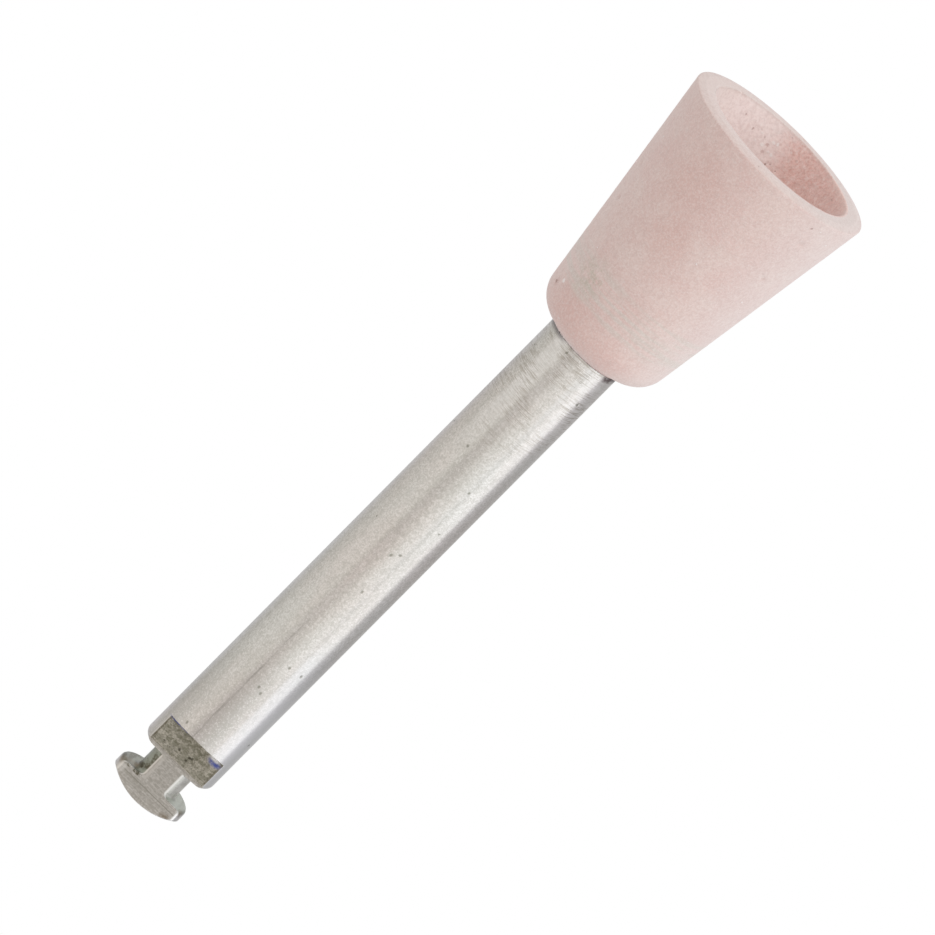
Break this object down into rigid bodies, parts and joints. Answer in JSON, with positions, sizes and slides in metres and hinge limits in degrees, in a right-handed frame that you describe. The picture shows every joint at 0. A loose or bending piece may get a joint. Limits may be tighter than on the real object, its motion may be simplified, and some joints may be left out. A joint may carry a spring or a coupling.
{
  "type": "dental polishing cup",
  "caption": "Tapered hollow abrasive rubber cup on a slim turned steel mandrel with a drive flat, latch groove and domed button end.",
  "frame": {"origin": "centre of the cup's mouth plane, which the part stands on", "axes": "+Z along the spin axis from the mouth to the latch end, -Y the way the drive flat faces"},
  "size_m": [0.006, 0.006, 0.0253],
  "materials": {
    "mandrel_steel": "satin, fine turned",
    "cup_rubber": "matt, fine abrasive grain"
  },
  "bodies": {
    "root": {"latch_mandrel": "mandrel_steel", "polishing_cup": "cup_rubber"}
  },
  "joints": []
}
